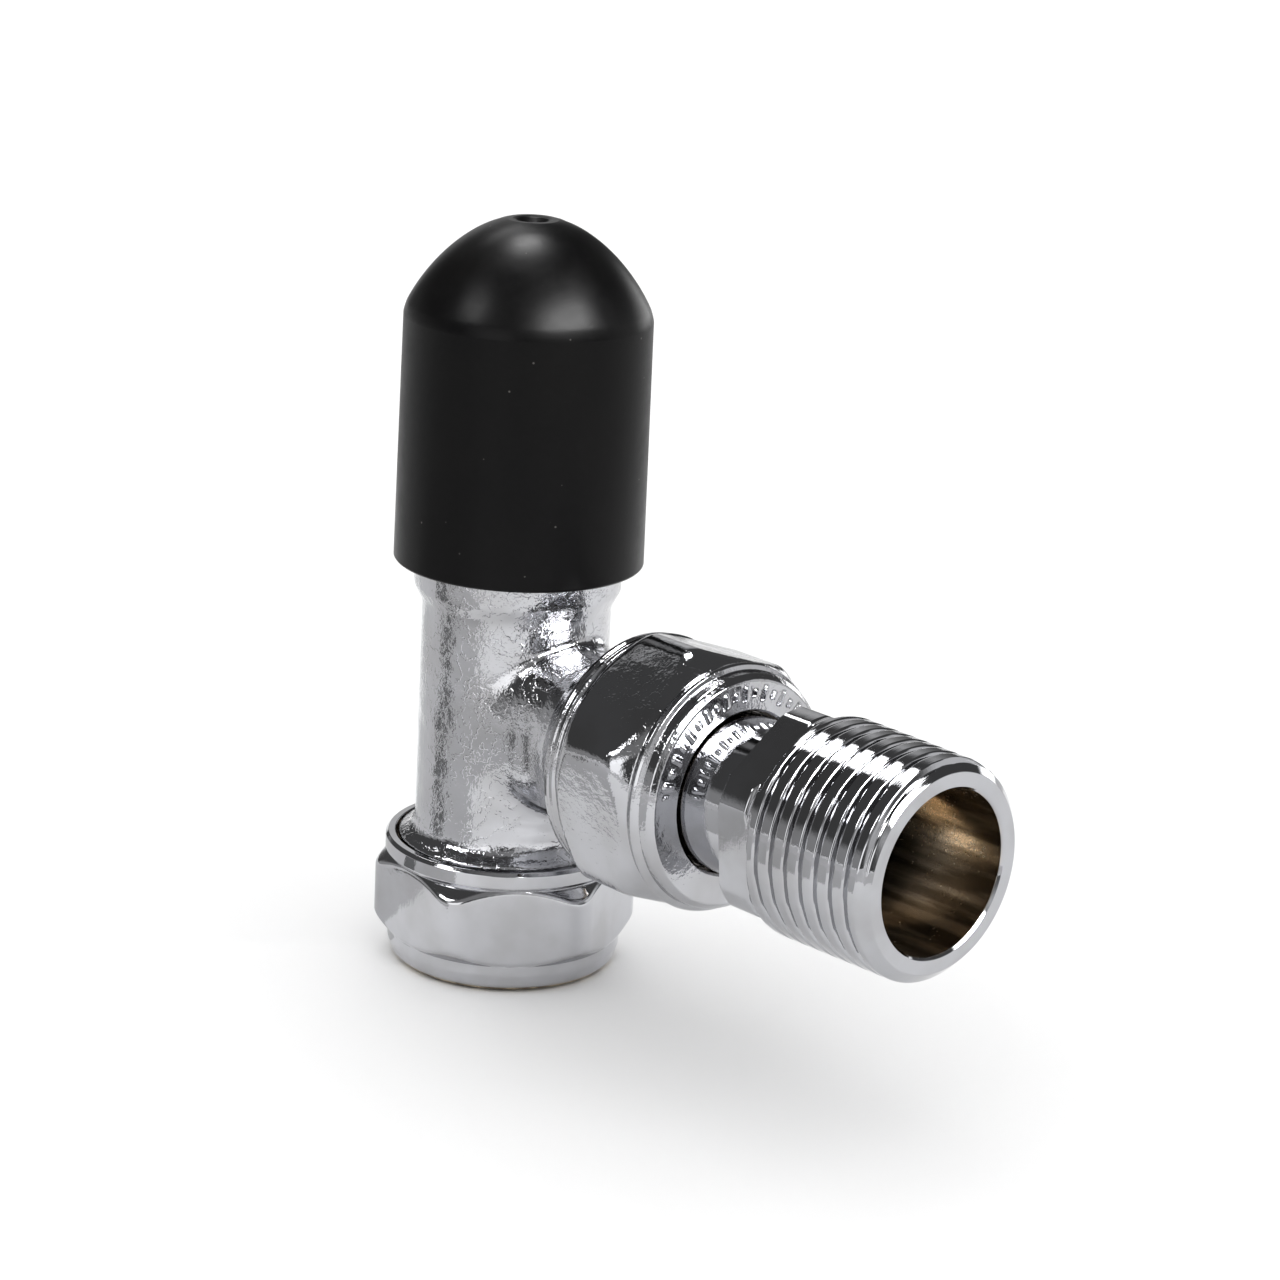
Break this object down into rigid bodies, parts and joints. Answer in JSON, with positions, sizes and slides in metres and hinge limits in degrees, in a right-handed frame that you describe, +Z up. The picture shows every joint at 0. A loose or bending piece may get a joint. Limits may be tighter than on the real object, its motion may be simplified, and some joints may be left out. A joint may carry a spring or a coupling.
{
  "type": "lockshield radiator valve",
  "caption": "Angled lockshield radiator valve with push-on bullet cap, compression nut for a pipe below and a union nut with a threaded radiator tail at the side.",
  "frame": {"origin": "on the pipe axis, in the plane of the compression nut's underside", "axes": "+Z up the spindle axis, +X out along the radiator tail"},
  "size_m": [0.0712, 0.0258, 0.0751],
  "materials": {
    "cap_plastic": "satin moulded",
    "rubber": "moulded",
    "chrome": "bright plated over forged and turned brass",
    "brass": "machined",
    "fibre": "pressed fibre",
    "ptfe": "white",
    "spring_steel": "wire"
  },
  "bodies": {
    "body": {"valve_body": "chrome", "bonnet": "brass", "bonnet_seal": "fibre", "gland_packing": "ptfe"},
    "grip_ring": {"cap_grip_ring": "rubber"},
    "cap": {"cap": "cap_plastic"},
    "plug": {"valve_plug": "brass", "seat_washer": "rubber", "washer_screw": "brass", "plug_retaining_clip": "spring_steel"},
    "spindle": {"spindle": "brass", "spindle_o_ring": "rubber"},
    "gland_washer": {"gland_washer": "brass"},
    "gland_nut": {"gland_nut": "brass"},
    "olive": {"olive": "brass"},
    "compression_nut": {"compression_nut": "chrome"},
    "tail_seal": {"tail_seal": "rubber"},
    "tail": {"radiator_tail": "chrome", "nut_retaining_ring": "spring_steel"},
    "union_nut": {"union_nut": "chrome"}
  },
  "joints": [
    {"name": "cap_spin", "type": "hinge", "parent": "body", "child": "grip_ring", "pos_m": [0, 0, 0.0516], "axis": [0, 0, 1], "continuous": true},
    {"name": "cap_pull", "type": "slide", "parent": "grip_ring", "child": "cap", "axis": [0, 0, 1], "range_m": [0, 0.045]},
    {"name": "plug_lift", "type": "slide", "parent": "body", "child": "plug", "axis": [0, 0, 1], "range_m": [-0.004, 0]},
    {"name": "spindle_turn", "type": "hinge", "parent": "plug", "child": "spindle", "pos_m": [0, 0, 0.0685], "axis": [0, 0, 1], "range_deg": [-961, 0]},
    {"name": "gland_press", "type": "slide", "parent": "body", "child": "gland_washer", "axis": [0, 0, 1], "range_m": [-0.00025, 0.004]},
    {"name": "gland_nut_turn", "type": "hinge", "parent": "gland_washer", "child": "gland_nut", "pos_m": [0, 0, 0.0585], "axis": [0, 0, 1], "range_deg": [-91, 1441]},
    {"name": "olive_slide", "type": "slide", "parent": "body", "child": "olive", "axis": [0, 0, 1], "range_m": [-0.009, 0]},
    {"name": "compression_nut_turn", "type": "hinge", "parent": "olive", "child": "compression_nut", "pos_m": [0, 0, 0], "axis": [0, 0, 1], "range_deg": [-1787, 0]},
    {"name": "tail_slide", "type": "slide", "parent": "body", "child": "tail_seal", "axis": [1, 0, 0], "range_m": [0, 0.0112]},
    {"name": "tail_swivel", "type": "hinge", "parent": "tail_seal", "child": "tail", "pos_m": [0.03, 0, 0.0264], "axis": [1, 0, 0], "continuous": true},
    {"name": "union_nut_turn", "type": "hinge", "parent": "tail_seal", "child": "union_nut", "pos_m": [0.025, 0, 0.0264], "axis": [1, 0, 0], "range_deg": [0, 2224]}
  ],
  "couplings": [
    {"joint": "spindle_turn", "follows": "plug_lift", "rad_per_m": 4188.8},
    {"joint": "gland_nut_turn", "follows": "gland_press", "rad_per_m": 6283.2},
    {"joint": "compression_nut_turn", "follows": "olive_slide", "rad_per_m": 3463.7},
    {"joint": "union_nut_turn", "follows": "tail_slide", "rad_per_m": 3463.7}
  ]
}
